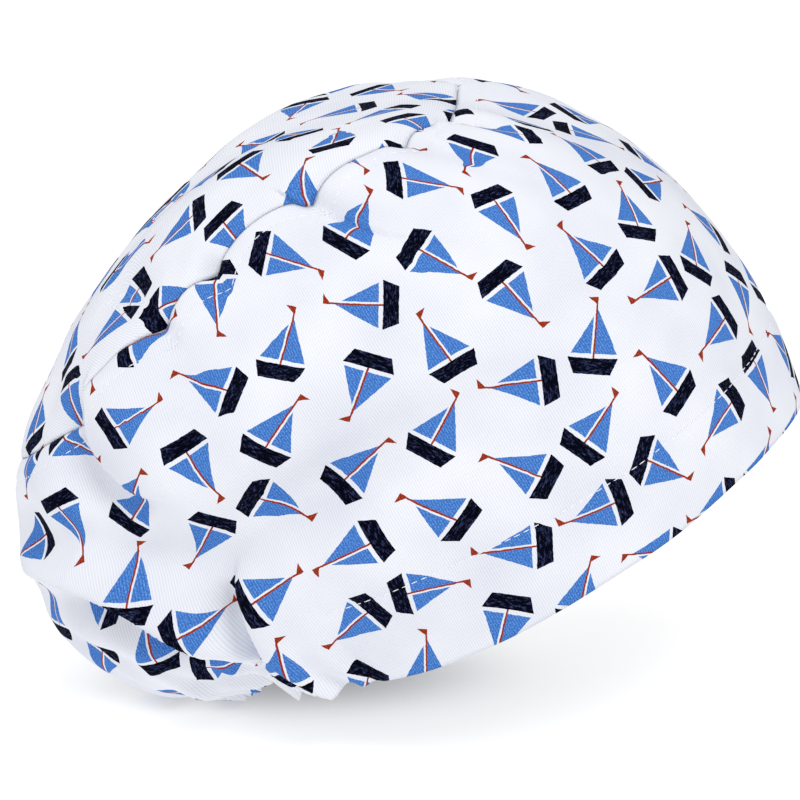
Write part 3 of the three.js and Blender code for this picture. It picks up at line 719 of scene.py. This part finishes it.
def boatPrint(dye, x, y, setting):
    # nearest point of two lattices set like bricks, each with its own turn
    pitch = setting["pitch"]
    rowPitch = pitch * math.sqrt(3)

    def latticeLayer(shift):
        fromColumn, fromRow = shift * pitch / 2, shift * rowPitch / 2
        column = ((x - fromColumn) / pitch + 0.5).work("FLOOR") * pitch + fromColumn
        row = ((y - fromRow) / rowPitch + 0.5).work("FLOOR") * rowPitch + fromRow
        return column, row, x - column, y - row

    columnA, rowA, acrossA, alongA = latticeLayer(0)
    columnB, rowB, acrossB, alongB = latticeLayer(1)
    nearA = (acrossA * acrossA + alongA * alongA) < (acrossB * acrossB + alongB * alongB)
    across = acrossB + (acrossA - acrossB) * nearA
    along = alongB + (alongA - alongB) * nearA
    column = columnB + (columnA - columnB) * nearA
    row = rowB + (rowA - rowB) * nearA

    def chance(first, second, third):
        # a fixed random value from 0 to 1 for each boat
        place = dye.node("ShaderNodeCombineXYZ", {}, {"X": first, "Y": second, "Z": third})
        return dye.node("ShaderNodeTexWhiteNoise", {"noise_dimensions": "3D"}, {"Vector": place}, "Value")

    turn = chance(column, row, 3.0) * (2 * math.pi)
    side = chance(row, column, 9.0) > 0.5
    cosine, sine = turn.work("COSINE"), turn.work("SINE")
    u = (across * cosine + along * sine) * (side * 2 - 1)
    v = along * cosine - across * sine

    def between(value, low, high):
        return (value > low) * (value < high)

    half = u.work("ABSOLUTE")
    hull = between(v, setting["hullFoot"], u * u * setting["deckDip"] + setting["hullDeck"])
    hull = hull * (half < ((v - setting["hullFoot"]) * setting["hullFlare"] + setting["hullHalf"]))
    foot = setting["sailFoot"]
    aftSlope = (setting["aftHalf"] - setting["mastHalf"]) / (setting["aftHead"] - foot)
    foreSlope = (setting["foreHalf"] - setting["sailGap"]) / (setting["foreHead"] - foot)
    aft = (u < 0) * (v > foot) * ((u + setting["aftHalf"]) > ((v - foot) * aftSlope))
    fore = (u > setting["sailGap"]) * (v > foot) * ((setting["foreHalf"] - u) > ((v - foot) * foreSlope))
    sail = aft.work("MAXIMUM", fore)
    mast = between(u, -setting["mastHalf"], setting["mastHalf"])
    mast = mast * between(v, setting["hullDeck"], setting["mastHead"])
    flagDrop = setting["mastHead"] - setting["flagFoot"]
    flag = (u > 0) * (v < setting["mastHead"])
    flag = flag * (u < ((v - setting["flagFoot"]) * (setting["flagFly"] / flagDrop)))
    scuffPlace = dye.node("ShaderNodeCombineXYZ", {}, {
        "X": u * setting["scuffAlong"], "Y": v * setting["scuffUp"], "Z": turn})
    return hull, sail, mast.work("MAXIMUM", flag), scuffPlace


weave = {
    "pitch": 0.8, "bump": 0.0001, "fleckScale": 1.9, "roughness": 0.88, "backPrint": 0.1,
    "weftDepth": 0.25, "bumpStrength": 0.35, "gloss": 0.03,
    # shares of cloud and thread in the cotton's tone, and where streaks and scuffs begin
    "tone": 0.35, "toneScale": 0.03, "toneCloud": 0.8, "toneThread": 0.3, "grainThread": 0.15,
    "streakFrom": 0.4, "streakGain": 2.1, "scuffScale": 1.1, "scuffFrom": 0.52, "scuffGain": 5.0,
    "scuffBase": 0.4,
}


def cottonMaterial(name, printShare):
    dye = Dye(name)
    cut = dye.node("ShaderNodeUVMap", {"uv_map": "cutUV"}, {})
    flat = dye.node("ShaderNodeVectorMath", {"operation": "SCALE"}, {0: cut, "Scale": 1000.0})
    swayed = dye.node("ShaderNodeTexNoise", {"noise_dimensions": "2D"},
                      {"Vector": flat, "Scale": boat["swayScale"], "Detail": 0.0}, "Color")
    wobble = dye.node("ShaderNodeTexNoise", {"noise_dimensions": "2D"},
                      {"Vector": flat, "Scale": boat["wobbleScale"], "Detail": 1.0}, "Color")
    parts = []
    for axis in ("X", "Y"):
        base = dye.node("ShaderNodeSeparateXYZ", {}, {0: flat}, axis)
        sway = dye.node("ShaderNodeSeparateXYZ", {}, {0: swayed}, axis)
        shake = dye.node("ShaderNodeSeparateXYZ", {}, {0: wobble}, axis)
        moved = base + (sway - 0.5) * (4 * boat["sway"]) + (shake - 0.5) * boat["edgeWobble"]
        parts.append((base, moved))
    (flatX, x), (flatY, y) = parts
    hull, sail, mast, scuffPlace = boatPrint(dye, x, y, boat)
    # plain weave along the cut, and the flecks of thread that it leaves in the dye
    spin = 2 * math.pi / weave["pitch"]
    warp = (flatX * spin).work("SINE")
    weft = (flatY * (spin * 0.5)).work("SINE")
    threads = warp * (weft * weave["weftDepth"] + (1 - weave["weftDepth"]))
    fleck = dye.node("ShaderNodeTexNoise", {"noise_dimensions": "2D"}, {
        "Vector": flat, "Scale": weave["fleckScale"], "Detail": 2.0, "Roughness": 0.6}, "Fac")
    cloud = dye.node("ShaderNodeTexNoise", {"noise_dimensions": "2D"}, {
        "Vector": flat, "Scale": weave["toneScale"], "Detail": 2.0}, "Fac")
    scuff = dye.node("ShaderNodeTexNoise", {}, {
        "Vector": scuffPlace, "Scale": weave["scuffScale"], "Detail": 3.0, "Roughness": 0.7}, "Fac")
    clothTone = (cloud - 0.5) * weave["toneCloud"] + threads * weave["toneThread"]
    clothTone = clamped(clothTone + weave["tone"])
    grain = fleck + threads * weave["grainThread"]
    streak = clamped((grain - weave["streakFrom"]) * weave["streakGain"])
    scuffed = clamped((scuff - weave["scuffFrom"]) * weave["scuffGain"])
    scuffed = scuffed * (streak * (1 - weave["scuffBase"]) + weave["scuffBase"])
    colour = dye.mixColour(clothTone, dyes["cotton"], dyes["cottonShade"])
    for mask, wear, ink in ((sail, streak, "sail"), (mast, streak, "mast"), (hull, scuffed, "hull")):
        ink = dye.mixColour(wear, dyes[ink], dyes[ink + "Fleck"])
        colour = dye.mixColour(mask * printShare, colour, ink)
    height = threads * 0.5 + fleck * 0.5
    bump = dye.node("ShaderNodeBump", {}, {
        "Strength": weave["bumpStrength"], "Distance": weave["bump"], "Height": height})
    cloth = dye.node("ShaderNodeBsdfPrincipled", {}, {
        "Base Color": colour, "Roughness": weave["roughness"], "Specular IOR Level": weave["gloss"],
        "Normal": bump})
    return dye.finish(cloth)


sewnThread = {
    "dark": srgb(232, 234, 244), "light": srgb(250, 250, 255), "twistScale": 2600.0,
    "bump": 0.0001, "bumpStrength": 0.4, "roughness": 0.7, "gloss": 0.3,
}


def threadMaterial(setting):
    dye = Dye("sewingThread")
    place = dye.node("ShaderNodeTexCoord", {}, {}, "Object")
    twist = dye.node("ShaderNodeTexNoise", {}, {
        "Vector": place, "Scale": setting["twistScale"], "Detail": 1.0}, "Fac")
    colour = dye.mixColour(twist, setting["dark"], setting["light"])
    bump = dye.node("ShaderNodeBump", {}, {
        "Strength": setting["bumpStrength"], "Distance": setting["bump"], "Height": twist})
    thread = dye.node("ShaderNodeBsdfPrincipled", {}, {
        "Base Color": colour, "Roughness": setting["roughness"], "Specular IOR Level": setting["gloss"],
        "Normal": bump})
    return dye.finish(thread)


printedCotton = cottonMaterial("printedCotton", 1.0)
cottonBack = cottonMaterial("cottonBack", weave["backPrint"])
sewingThread = threadMaterial(sewnThread)
print("materials made")

fineness = 4
netSize = {"bandRows": 25 * fineness + 1, "bandColumns": 120 * fineness + 1,
           "crownSide": 36 * fineness + 1, "hemRows": 4 * fineness + 1, "hemColumns": 60 * fineness + 1}
coarse = {"bandRows": 23, "bandColumns": 121, "crownSide": 37}
# The nape has more threads, growing between two angles, and each piece its own place on the print
napeThreads = {"more": 1.1, "from": 104, "to": 124, "samples": 1441}
cutPlaces = {"crown": (0.4, 0.3), "strips": (0.1, 0.6)}


def bandAngles(columns):
    # threads lie closer where the nape is gathered
    fine = np.linspace(-180, 180, napeThreads["samples"])
    gathered = smoothStep(np.abs(fine), napeThreads["from"], napeThreads["to"])
    density = 1 + napeThreads["more"] * gathered
    total = np.concatenate([[0], np.cumsum((density[1:] + density[:-1]) / 2)])
    return np.interp(np.linspace(0, total[-1], columns), total, fine)


def seamClearance(angle):
    return sewing["seamGap"] / 2 / clothPerLevel(angle, np.ones_like(angle))


def bandEnds(angle):
    return edgeLevel(angle), seamLevel(angle) - seamClearance(angle)


def bandNet(rows, angle):
    low, top = bandEnds(angle[None, :])
    share = np.linspace(0, 1, rows)[:, None]
    return np.broadcast_arrays(angle[None, :], low + (top - low) * share)


def makeBand():
    rows, columns = coarse["bandRows"], coarse["bandColumns"]
    angle, level = bandNet(rows, np.linspace(-180, 180, columns))
    radius = capSize["length"] * 0.4
    start = np.stack([np.radians(angle) * radius, riseFromEdge(angle, level)], -1)
    flat = layFlat(barePoints(angle, level), start)
    angle, level = bandNet(netSize["bandRows"], bandAngles(netSize["bandColumns"]))
    bare, normals = barePoints(angle, level), bareNormals(angle, level)
    hidden = overFoldMoves(bare, normals)[1] + tuckSlip(bare, normals)
    slipped, slippedLevel = slipAlong(angle, level, hidden)
    low, top = bandEnds(angle)
    row = (slippedLevel - low) / (top - low) * (rows - 1)
    uv = lookUp(flat, row, (slipped + 180) / 360 * (columns - 1))
    band = clothGrid("sideBandCloth", wornPoints(angle, level), uv, True, [printedCotton, cottonBack])
    giveThickness(band, sewing["clothWall"])
    return band, flat


def discNet(side):
    # a square net drawn out to a disc: its angle and its distance from the middle
    a, b = np.meshgrid(np.linspace(-1, 1, side), np.linspace(-1, 1, side))
    wide = np.abs(a) >= np.abs(b)
    reach = np.where(wide, np.abs(a), np.abs(b))
    ratio = np.where(wide, b / np.where(a == 0, 1, a), a / np.where(b == 0, 1, b))
    turn = np.where(wide, 45 * ratio, 90 - 45 * ratio) + np.where(np.where(wide, a, b) < 0, 180, 0)
    return wrapAngle(turn), reach


def makeCrown():
    def crownLevels(turn, reach):
        low = seamLevel(turn) + seamClearance(turn)
        return 2 - (2 - low) * reach

    turn, reach = discNet(coarse["crownSide"])
    radius = capSize["length"] * 0.32 * reach
    start = np.stack([radius * np.cos(np.radians(turn)), radius * np.sin(np.radians(turn))], -1)
    flat = layFlat(barePoints(turn, crownLevels(turn, reach)), start)
    turn, reach = discNet(netSize["crownSide"])
    place = np.linspace(0, coarse["crownSide"] - 1, netSize["crownSide"])
    row, column = np.meshgrid(place, place, indexing="ij")
    uv = lookUp(flat, row, column) + np.array(cutPlaces["crown"])
    points = wornPoints(turn, crownLevels(turn, reach))
    crown = clothGrid("crownPanelCloth", points, uv, False, [printedCotton, cottonBack])
    giveThickness(crown, sewing["clothWall"])
    return crown, flat


def makeStrip(name, fromAngle, toAngle, depth, wall, columns):
    angle = np.linspace(fromAngle, toAngle, columns)
    low, high = levelAt(angle, sewing["edgeInset"]), levelAt(angle, depth)
    share = np.linspace(0, 1, netSize["hemRows"])[:, None]
    angle, level = np.broadcast_arrays(angle[None, :], low + (high - low) * share)
    points = clothPoints(angle, level, gathered=False)
    inset = sewing["clothWall"] + sewing["layerGap"]
    points = points - bareNormals(angle, level) * inset
    along = np.concatenate([[0], np.cumsum(np.linalg.norm(np.diff(points[0], axis=0), axis=1))])
    uv = np.stack(np.broadcast_arrays(along[None, :], share * depth), -1) + np.array(cutPlaces["strips"])
    strip = clothGrid(name, points, uv, False, [cottonBack, cottonBack])
    giveThickness(strip, wall)
    return strip, uv


def declare(piece, node, uv):
    size = uv.reshape(-1, 2).max(0) - uv.reshape(-1, 2).min(0)
    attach(piece, "root")
    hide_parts(node)
    round(flatArea(uv), 5)


band, bandFlat = makeBand()
declare(band, "side_band", bandFlat)
print("side band made")
crown, crownFlat = makeCrown()
declare(crown, "crown_panel", crownFlat)
print("crown panel made")
start = shapeSetting["gatherStart"]
hem, hemFlat = makeStrip("turnedHemCloth", -start, start, sewing["hemDepth"], sewing["turnedWall"],
                         netSize["hemColumns"])
declare(hem, "turned_hem", hemFlat)
gapAngle = math.degrees(2 * sewing["layerGap"] / (capSize["width"] / 2))
casing, casingFlat = makeStrip("elasticCasingCloth", start + gapAngle, 360 - start - gapAngle,
                               sewing["casingDepth"], sewing["casingWall"], netSize["hemColumns"])
declare(casing, "elastic_casing", casingFlat)
print("turned hem and casing made")

stitch = {
    "length": 2.4 * mm, "pitch": 3.2 * mm, "thick": 0.34 * mm, "proud": 0.08 * mm,
    "hemPoints": 300, "seamPoints": 720,    # points along each row's path
}


def stitchRow(name, angle, level):
    # a line of short threads lying along a line of the band
    path = wornPoints(angle, level)
    normals = bareNormals(angle, level)
    along = np.concatenate([[0], np.cumsum(np.linalg.norm(np.diff(path, axis=0), axis=1))])

    def sampled(values, length):
        return Vector([np.interp(length, along, values[:, axis]) for axis in range(3)])

    threads = bmesh.new()
    for begin in np.arange(0, along[-1] - stitch["length"], stitch["pitch"]):
        outward = sampled(normals, begin).normalized()
        first, last = sampled(path, begin), sampled(path, begin + stitch["length"])
        direction = (last - first).normalized()
        across = outward.cross(direction).normalized()
        turned = Matrix((direction, across, direction.cross(across))).transposed().to_4x4()
        size = Matrix.Diagonal((stitch["length"] / 2, stitch["thick"] / 2, stitch["thick"] / 2, 1))
        middle = (first + last) / 2 + outward * stitch["proud"]
        bmesh.ops.create_uvsphere(threads, u_segments=6, v_segments=6, radius=1,
                                  matrix=Matrix.Translation(middle) @ turned @ size)
    bmesh.ops.recalc_face_normals(threads, faces=threads.faces[:])
    mesh = bpy.data.meshes.new(name)
    threads.to_mesh(mesh)
    threads.free()
    for face in mesh.polygons:
        face.use_smooth = True
    mesh.materials.append(sewingThread)
    piece = bpy.data.objects.new(name, mesh)
    bpy.context.scene.collection.objects.link(piece)
    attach(piece, "root")
    return piece


hemAngle = np.linspace(-start, start, stitch["hemPoints"])
stitchRow("hemStitches", hemAngle, levelAt(hemAngle, sewing["hemDepth"]))
seamAngle = np.linspace(-180, 180, stitch["seamPoints"])
belowSeam = np.full(stitch["seamPoints"], 0.97)
seamLine = seamLevel(seamAngle) - sewing["topStitch"] / clothPerLevel(seamAngle, belowSeam)
stitchRow("seamStitches", seamAngle, seamLine)
print("stitches laid")


def makeFloor(setting):
    dye = Dye("paperFloor")
    # the paper glows, painted light that keeps it white round the cap's own cast shadow; near where the
    # cap touches, its glow and tone drop to paint a darker contact shadow
    place = dye.node("ShaderNodeTexCoord", {}, {}, "Object")
    offset = dye.node("ShaderNodeVectorMath", {"operation": "SUBTRACT"},
                      {0: place, 1: setting["paintedShadowCentre"]})
    scaled = dye.node("ShaderNodeVectorMath", {"operation": "DIVIDE"},
                      {0: offset, 1: setting["paintedShadowReach"]})
    away = dye.node("ShaderNodeVectorMath", {"operation": "LENGTH"}, {0: scaled}, "Value")
    # share runs from 0 in the painted contact shadow to 1 on the open paper
    share = 1.0 - (-(away * away * away)).work("EXPONENT")

    def mixGrey(near, far):
        return dye.mixColour(share, (near, near, near, 1), (far, far, far, 1))

    # painted shadow: darker tone and weaker glow near the contact, the paper's plain white tone and glow
    # away from it
    tone = mixGrey(setting["paintedShadowTone"], setting["farTone"])
    glow = mixGrey(setting["paintedShadowGlow"], setting["farGlow"])
    paper = dye.node("ShaderNodeBsdfPrincipled", {}, {
        "Base Color": tone, "Roughness": 1.0, "Specular IOR Level": 0.0,
        "Emission Color": glow, "Emission Strength": 1.0})
    floorMaterial = dye.finish(paper)
    net = bmesh.new()
    bmesh.ops.create_grid(net, x_segments=1, y_segments=1, size=setting["half"],
                          matrix=Matrix.Translation((0, 0, setting["height"])))
    mesh = bpy.data.meshes.new("floor")
    net.to_mesh(mesh)
    net.free()
    mesh.materials.append(floorMaterial)
    piece = bpy.data.objects.new("floor", mesh)
    bpy.context.scene.collection.objects.link(piece)


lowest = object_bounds()[0][2]
# the floor's painted contact shadow lies round the nape, where the cap touches
makeFloor({"half": 20.0, "height": lowest - 0.5 * mm, "paintedShadowTone": 0.42, "farTone": 0.5,
           "paintedShadowCentre": (-0.075, 0.015, lowest), "paintedShadowGlow": 0.2, "farGlow": 0.69,
           "paintedShadowReach": (0.06, 0.036, 0.036)})

studio = {
    "sky": (1.0, 1.0, 1.0, 1), "skyStrength": 0.64,
    "lamps": [
        # name, place, aims at, side of the square, watts, colour
        ("keyLamp", (0.4, -1.05, 1.45), (-0.03, 0, 0.05), 0.6, 12.2, (1.0, 0.997, 0.99)),
        ("leftLamp", (-1.25, -0.1, 1.35), (-0.03, 0, 0.05), 1.0, 6.0, (0.98, 0.985, 1.0)),
    ],
}


def placeLights(setting):
    for name, place, aim, side, watts, colour in setting["lamps"]:
        lamp = bpy.data.lights.new(name, "AREA")
        lamp.size = side
        lamp.energy = watts
        lamp.color = colour
        holder = bpy.data.objects.new(name, lamp)
        holder.location = place
        holder.rotation_euler = (Vector(place) - Vector(aim)).to_track_quat("Z", "Y").to_euler()
        bpy.context.scene.collection.objects.link(holder)
    world = bpy.data.worlds.new("whiteRoom")
    world.use_nodes = True
    background = world.node_tree.nodes["Background"]
    background.inputs["Color"].default_value = setting["sky"]
    background.inputs["Strength"].default_value = setting["skyStrength"]
    bpy.context.scene.world = world
    bpy.context.scene.view_settings.view_transform = "Standard"


placeLights(studio)
print("floor and lights placed")
